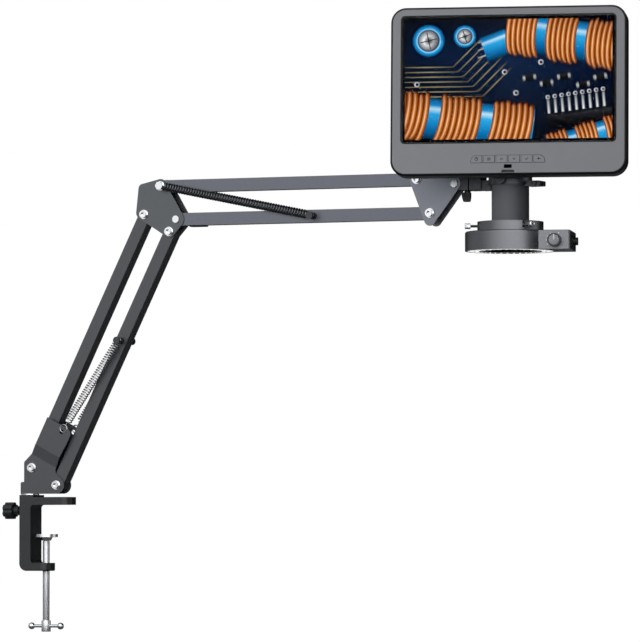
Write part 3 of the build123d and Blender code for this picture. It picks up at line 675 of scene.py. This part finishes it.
def glow(name, acrossStops, alongStops):
    # the lit display: each shape gives off its own colour, shaded across and along it
    material, shader = newMaterial(name, Roughness=0.6, Emission_Strength=1.0, Specular_IOR_Level=0.0)
    shader.inputs["Base Color"].default_value = hexColour("000000")
    place = addNode(material, "ShaderNodeTexCoord")
    parts = addNode(material, "ShaderNodeSeparateXYZ", links={0: place.outputs["UV"]})
    tints = []
    for stops, source in ((acrossStops, parts.outputs["Y"]), (alongStops, parts.outputs["X"])):
        ramp = addNode(material, "ShaderNodeValToRGB", links={0: source})
        bands = ramp.color_ramp.elements
        while len(bands) < len(stops):
            bands.new(0.5)
        for band, (position, code) in zip(bands, stops):
            band.position = position
            band.color = hexColour(code)
        tints.append(ramp.outputs["Color"])
    both = mixColours(material, 1.0, tints[0], tints[1], "MULTIPLY")
    link(material, both, shader.inputs["Emission Color"])
    return material


shade = {"copper": glow("copperGlow", ((0.0, "2a0e04"), (0.18, "a2480f"), (0.45, "ee9442"), (0.58, "ffd9ae"),
                                       (0.72, "d9772a"), (1.0, "3a1405")),
                        ((0.0, "5a3a2c"), (0.2, "e6dcd4"), (0.5, "ffffff"), (0.85, "c8b8ae"),
                         (1.0, "4a2c20"))),
         "core": glow("skyBlueGlow", ((0.0, "022c4c"), (0.3, "0a7fc2"), (0.62, "2fb4ee"), (0.74, "c9efff"),
                                      (0.82, "1b96d8"), (1.0, "043a62")),
                      ((0.0, "d8e4ee"), (1.0, "ffffff"))),
         "board": glow("navyGlow", ((0.0, "04070f"), (0.4, "0a1830"), (0.7, "0d2244"), (1.0, "050a16")),
                       ((0.0, "8090a0"), (0.5, "ffffff"), (1.0, "7080a0"))),
         "track": glow("goldTrackGlow", ((0.0, "5b5334"), (0.5, "b7a873"), (1.0, "5b5334")),
                       ((0.0, "9a9a9a"), (0.5, "ffffff"), (1.0, "8a8a8a"))),
         "silver": glow("tinGlow", ((0.0, "3a3d42"), (0.35, "c8cbd0"), (0.55, "ffffff"), (0.8, "9a9ea4"),
                                    (1.0, "2c2e33")),
                        ((0.0, "b0b0b0"), (0.5, "ffffff"), (1.0, "a0a0a0"))),
         "black": glow("blackGlow", ((0.0, "020203"), (0.55, "141519"), (0.7, "2a2c33"), (1.0, "060608")),
                       ((0.0, "c0c0c0"), (1.0, "ffffff")))}


def ribbon(name, tone, width, layer, route, steps):
    strip = addMesh(name, "grid", x_subdivisions=steps, y_subdivisions=6, size=2)
    for v in strip.data.vertices:
        t, side = (v.co.x + 1) / 2, v.co.y / 2
        here, ahead, behind = route(t), route(t + 0.01), route(t - 0.01)
        along = (Vector(ahead) - Vector(behind)).normalized()
        x, z = here[0] - along[1] * side * width, here[1] + along[0] * side * width
        v.co = Vector((x, -layer, z)) * mm
    strip.data.materials.append(shade[tone])
    return strip


def stripe(name, tone, width, layer, start, end, steps=4):
    def route(t):
        return (start[0] + (end[0] - start[0]) * t, start[1] + (end[1] - start[1]) * t)
    return ribbon(name, tone, width, layer, route, steps)


def disc(name, tone, centre, outer, inner, layer):
    middle = (outer + inner) / 2

    def route(t):
        a = 2 * math.pi * t
        return (centre[0] + middle * math.cos(a), centre[1] + middle * math.sin(a))
    return ribbon(name, tone, outer - inner, layer, route, 40)


def winding(x, z, lean, half, bulge, angle):
    c, s = math.cos(math.radians(angle)), math.sin(math.radians(angle))

    def route(t):
        a = (t - 0.5) * math.pi
        u, v = lean * (t - 0.5) + bulge * math.cos(a), half * math.sin(a)
        return (x + u * c - v * s, z + u * s + v * c)
    return route


coils = [{"from": (-132.0, -34.0), "to": (26.0, -52.0), "half": 25.0, "wire": 6.4, "gapEvery": 9, "gap": 2,
          "lean": 7.0, "bulge": 5.0},
         {"from": (2.0, 52.0), "to": (132.0, 30.0), "half": 24.0, "wire": 5.6, "gapEvery": 8, "gap": 2,
          "lean": -6.0, "bulge": -5.0},
         {"from": (40.0, -76.0), "to": (142.0, -46.0), "half": 17.0, "wire": 4.6, "gapEvery": 7, "gap": 2,
          "lean": 5.0, "bulge": 3.5}]
coreShare, turnPitch, turnUneven = 1.72, 0.94, 0.05


def pictureCoil(coil, layer):
    start, end = Vector(coil["from"]), Vector(coil["to"])
    run = end - start
    angle = math.degrees(math.atan2(run[1], run[0]))
    shapes = [stripe("rodCore", "core", coil["half"] * coreShare, layer, start, end, 24)]
    count = int(run.length / (coil["wire"] * turnPitch))
    for n in range(count):
        if n % coil["gapEvery"] >= coil["gapEvery"] - coil["gap"]:
            continue
        at = start + run * (n + 0.5) / count
        size = 1.0 + turnUneven * math.sin(n * 2.3)
        route = winding(at[0], at[1], coil["lean"], coil["half"] * size, coil["bulge"], angle)
        shapes.append(ribbon("turn", "copper", coil["wire"], layer + 0.02 + 0.002 * (n % 3), route, 18))
    return shapes


# places on the display, from its middle
tracks = {"count": 7, "left": -112, "bend": -58, "top": 14, "step": 5.2, "rise": 30, "width": 1.3}
pads = {"count": 9, "left": 44, "step": 7.2, "foot": -50, "head": -22, "lean": 2.5, "width": 3.6,
        "endX": 2.7, "endZ": -19, "endOuter": 2.6, "endInner": 0.9}
cans = ((-84, 42, 17.0), (-46, 46, 12.0))
chips = ((22, 2), (40, -4), (58, 3), (78, -6), (96, 2))
filmLegs = (26, 34, 42)
vias = ((-96, -4), (-4, 8), (8, -14), (34, 18), (104, 16))


def pictureTracks():
    shapes = []
    for n in range(tracks["count"]):
        z = tracks["top"] - tracks["step"] * n
        bend = (tracks["bend"] + tracks["step"] * n, z)
        end = (bend[0] + tracks["rise"], z + tracks["rise"])
        shapes.append(stripe("track", "track", tracks["width"], 0.03, (tracks["left"], z), bend))
        shapes.append(stripe("track", "track", tracks["width"], 0.03, bend, end))
    for n in range(pads["count"]):
        x = pads["left"] + pads["step"] * n
        foot, head = (x, pads["foot"] + n), (x - pads["lean"], pads["head"] + n)
        shapes.append(stripe("padRow", "silver", pads["width"], 0.05, foot, head))
        shapes.append(disc("padEnd", "silver", (x - pads["endX"], pads["endZ"] + n),
                           pads["endOuter"], pads["endInner"], 0.06))
    shapes.append(stripe("header", "black", 15.0, 0.07, (40, -44), (112, -35), 8))
    return shapes


def pictureCans():
    shapes = []
    for n, (x, z, r) in enumerate(cans):
        above, half = 0.02 * n, r * 0.5
        shapes.append(disc("canWall", "core", (x, z), r, r * 0.62, 0.08 + above))
        shapes.append(disc("canTop", "silver", (x, z), r * 0.66, 0.2, 0.11 + above))
        shapes.append(stripe("canScore", "black", 1.0, 0.13 + above, (x - half, z - 2), (x + half, z + 2)))
        shapes.append(stripe("canScore", "black", 1.0, 0.135 + above, (x + 2, z - half), (x - 2, z + half)))
    return shapes


def pictureChips():
    shapes = []
    for x, z in chips:
        shapes.append(stripe("chipEnds", "silver", 7.0, 0.09, (x - 7, z - 1), (x + 7, z + 1)))
        shapes.append(stripe("chipBody", "black", 7.4, 0.10, (x - 4.4, z - 0.6), (x + 4.4, z + 0.6)))
    for z in filmLegs:
        shapes.append(stripe("filmLeg", "silver", 2.2, 0.08, (-32, z - 3), (8, z + 11)))
    shapes.append(stripe("filmBox", "core", 27.0, 0.09, (-26, 31.5), (0, 41), 8))
    for x, z in vias:
        shapes.append(disc("via", "silver", (x, z), 3.2, 1.3, 0.07))
    return shapes


def clipToPicture(piece):
    selectOnly(piece)
    bpy.ops.object.mode_set(mode="EDIT")
    for axis, size in ((0, panel["wide"]), (2, panel["high"])):
        for sign in (-1, 1):
            bpy.ops.mesh.select_all(action="SELECT")
            edge, way = [0, 0, 0], [0, 0, 0]
            edge[axis], way[axis] = sign * (size / 2 + panel["clipOver"]) * mm, sign
            bpy.ops.mesh.bisect(plane_co=edge, plane_no=way, clear_outer=True)
    bpy.ops.object.mode_set(mode="OBJECT")


def makePicture():
    p = panel
    side = p["wide"] / 2 + 2
    shapes = [stripe("ground", "board", p["high"] + 4, 0.0, (-side, 0), (side, 0))]
    shapes += pictureTracks() + pictureCans() + pictureChips()
    for n, coil in enumerate(coils):
        shapes += pictureCoil(coil, 0.2 + 0.12 * n)
    art = joined("screenPicture", shapes)
    clipToPicture(art)
    x, z = p["glassWide"] / 2 - p["backingInset"], p["glassHigh"] / 2 - p["backingInset"]
    backing = flatPlate("backing", -x, x, -z, z, 0.02, p["back"] - p["backing"])
    backing.data.materials.append(blackAbs)
    art = joined("screenPicture", [art, backing])
    settle(art, screenPlace @ shifted(p["dx"], p["front"] + p["backing"], p["low"] + p["high"] / 2))
    dressed(art, None, "screen", "display_film", "lcd_panel")


keys = {"pitch": 13.15, "z": -63.35, "front": -42.5, "line": 0.5, "ring": 1.5}
keyMarks = {"key_power": ((0, 0.6, 0, 2.0),),
            "key_menu": ((-1.5, -1.1, 1.5, -1.1), (-1.5, 0.0, 1.5, 0.0), (-1.5, 1.1, 1.5, 1.1)),
            "key_up": ((-1.3, -0.7, 0, 0.8), (0, 0.8, 1.3, -0.7)),
            "key_down": ((-1.3, 0.7, 0, -0.8), (0, -0.8, 1.3, 0.7)),
            "key_enter": ((-1.4, 0, -0.4, -1.0), (-0.4, -1.0, 1.5, 1.1)),
            "key_back": ((-1.6, 0, -0.5, 1.0), (-1.6, 0, -0.5, -1.0), (-1.6, 0, 1.6, 0))}


def stroke(x0, z0, x1, z1):
    run, middle = Vector((x1, z1)) - Vector((x0, z0)), (Vector((x0, z0)) + Vector((x1, z1))) / 2
    line = addMesh("stroke", "cube", size=mm, location=(middle[0] * mm, 0, middle[1] * mm),
                   rotation=(0, -math.atan2(run[1], run[0]), 0),
                   scale=(run.length + keys["line"], 0.06, keys["line"]))
    settle(line)
    return applied(line, "BEVEL", width=0.02 * mm, segments=1)


def ringMark(radius):
    ring = addMesh("ringMark", "torus", major_radius=radius * mm, minor_radius=keys["line"] / 2 * mm,
                   major_segments=28, minor_segments=6, rotation=(math.pi / 2, 0, 0))
    settle(ring)
    ring.scale = (1, 0.14, 1)
    return settle(ring)


def makeKeyMarks():
    for n, (name, lines) in enumerate(keyMarks.items()):
        parts = [ringMark(keys["ring"])] if name == "key_power" else []
        parts += [stroke(*line) for line in lines]
        mark = joined(name.replace("key_", "mark_"), parts)
        x = panel["dx"] + (n - (len(keyMarks) - 1) / 2) * keys["pitch"]
        settle(mark, screenPlace @ shifted(x, keys["front"] - 0.02, keys["z"]))
        dressed(mark, blackInk, name, "smoked_acrylic")


# rubber stop under the low upper bar

barStop = {"from": 14.0, "to": 33.0, "half": 4.6, "thick": 1.6, "round": 0.7, "barHalf": 6.75,
           "pivot": (164.4, 308.3), "lean": 0.35}


def makeBarStop():
    b = barStop
    pad = flatPlate("barStop", b["from"], b["to"], -b["barHalf"] - b["thick"], -b["barHalf"],
                    -b["half"], b["half"])
    applied(pad, "BEVEL", width=b["round"] * mm, segments=3)
    place = shifted(b["pivot"][0], 0, b["pivot"][1]) @ turned(b["lean"], "Y")
    dressed(settle(pad, place), nylon, "upper_low", "black_nylon")


# studio: a floor that is white to the camera, and a room that only shiny things see

floorSheet = {"size": 14.0, "x": 0.35, "drop": 0.0006, "colour": "6f7072", "whitePart": 0.92, "white": 1.10}
room = {"fill": 0.05, "towards": (-0.37, -0.929, 0.0), "edge": 0.15,
        "sideTowards": (0.866, -0.5, 0.0), "dimAt": -0.3, "brightAt": 0.9, "dim": 0.5, "bright": 3.2,
        "stripTowards": (0.906, 0.423, 0.0), "stripFrom": 0.93, "stripTo": 0.97, "strip": 1.3}


def makeFloor():
    f = floorSheet
    floor = addMesh("floor", "plane", size=f["size"], location=(f["x"], 0, cadBox[0][2] - f["drop"]))
    material, shader = newMaterial("paintedFloor", Roughness=0.9, Specular_IOR_Level=0.0)
    shader.inputs["Base Color"].default_value = hexColour(f["colour"])
    rays = addNode(material, "ShaderNodeLightPath")
    part = addNode(material, "ShaderNodeMath", {"operation": "MULTIPLY", 1: f["whitePart"]},
                   {0: rays.outputs["Is Camera Ray"]})
    white = addNode(material, "ShaderNodeEmission", {"Color": hexColour("ffffff"), "Strength": f["white"]})
    mixed = addNode(material, "ShaderNodeMixShader",
                    links={0: part.outputs[0], 1: shader.outputs[0], 2: white.outputs[0]})
    link(material, mixed.outputs[0], material.node_tree.nodes["Material Output"].inputs["Surface"])
    floor.data.materials.append(material)


def makeRoom():
    # bright in front, brighter to the right, dark behind, with one bright upright strip
    world = bpy.data.worlds.new("studio")
    bpy.context.scene.world = world
    world.use_nodes = True
    sky = world.node_tree.nodes["Background"]
    way = addNode(world, "ShaderNodeTexCoord").outputs["Generated"]
    front = addNode(world, "ShaderNodeMapRange", {"interpolation_type": "SMOOTHSTEP", "From Max": room["edge"]},
                    {"Value": dotWith(world, way, room["towards"])})
    side = between(world, dotWith(world, way, room["sideTowards"]), room["dim"], room["bright"],
                   room["dimAt"], room["brightAt"])
    wall = addNode(world, "ShaderNodeMath", {"operation": "MULTIPLY"}, {0: front.outputs[0], 1: side})
    strip = addNode(world, "ShaderNodeMapRange",
                    {"interpolation_type": "SMOOTHSTEP", "From Min": room["stripFrom"],
                     "From Max": room["stripTo"], "To Max": room["strip"]},
                    {"Value": dotWith(world, way, room["stripTowards"])})
    sheen = addNode(world, "ShaderNodeMath", {"operation": "ADD"}, {0: wall.outputs[0], 1: strip.outputs[0]})
    rays = addNode(world, "ShaderNodeLightPath")
    level = addNode(world, "ShaderNodeMix", {2: room["fill"]},
                    {0: rays.outputs["Is Glossy Ray"], 3: sheen.outputs[0]})
    clear = addNode(world, "ShaderNodeMath", {"operation": "MAXIMUM"},
                    {0: rays.outputs["Is Camera Ray"], 1: rays.outputs["Is Transmission Ray"]})
    total = addNode(world, "ShaderNodeMix", {3: 1.0}, {0: clear.outputs[0], 2: level.outputs[0]})
    link(world, total.outputs[0], sky.inputs["Strength"])
    sky.inputs["Color"].default_value = (1, 1, 1, 1)


bpy.context.scene.view_settings.view_transform = "Standard"
makeCamera()
for lampName, lamp in lamps.items():
    makeLamp(lampName, **lamp)
makeFloor()
makeRoom()
finishNodes()
print("studio and node finishes done")
makeSpring("lower", brightWire, **springs["lower"])
makeSpring("upper", blackWire, **springs["upper"])
makeClampScrew()
print("springs and clamp screw done")
makeLampScrews()
makeDimmerTrim()
makeLeds()
print("ring light trim done")
makeInkBorder()
makePicture()
makeKeyMarks()
makeBarStop()
print("screen trim done")
